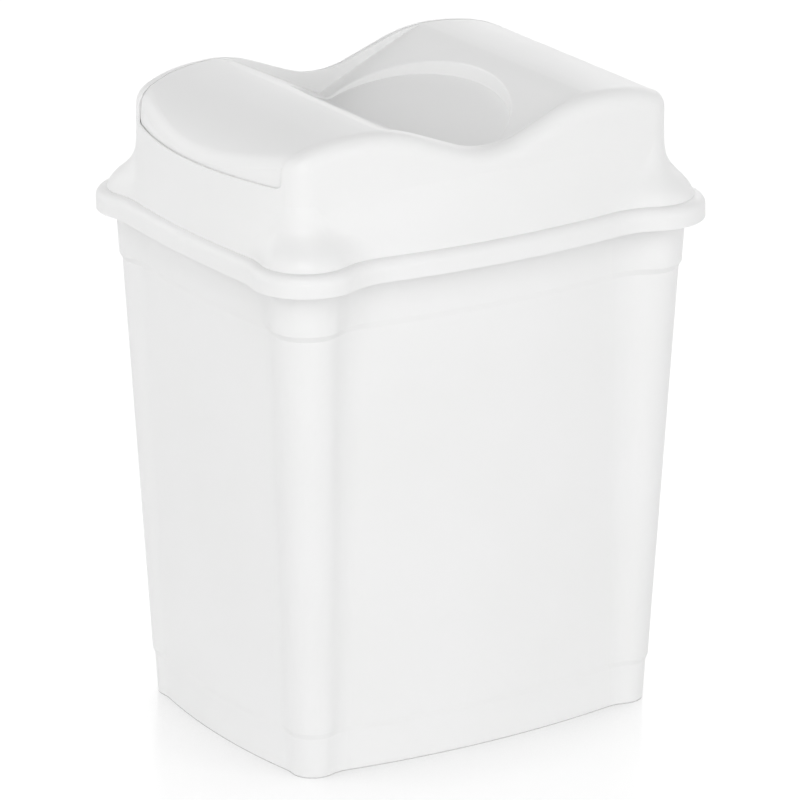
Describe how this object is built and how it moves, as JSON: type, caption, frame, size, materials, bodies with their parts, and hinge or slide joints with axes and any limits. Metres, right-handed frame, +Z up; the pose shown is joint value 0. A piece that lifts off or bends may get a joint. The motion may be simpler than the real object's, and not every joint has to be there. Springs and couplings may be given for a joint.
{
  "type": "countertop trash can",
  "caption": "Small tapered waste bin with bulging corners, an overhanging wave-topped lid frame and a two-way swinging flap with finger recesses.",
  "frame": {"origin": "on the resting plane, under the middle of the bin", "axes": "+Z up out of the bin, X along its long side, Y across its short side"},
  "size_m": [0.203, 0.1592, 0.2596],
  "materials": {
    "white_plastic_bin": "satin",
    "white_plastic_lid": "satin"
  },
  "bodies": {
    "bin": {"bin": "white_plastic_bin"},
    "lid_frame": {"lid_frame": "white_plastic_lid"},
    "flap": {"flap": "white_plastic_lid"}
  },
  "joints": [
    {"name": "lid_lift", "type": "slide", "parent": "bin", "child": "lid_frame", "axis": [0, 0, 1], "range_m": [0, 0.1]},
    {"name": "flap_swing", "type": "hinge", "parent": "lid_frame", "child": "flap", "pos_m": [0, 0, 0.2407], "axis": [0, 1, 0], "range_deg": [-72, 72]}
  ]
}
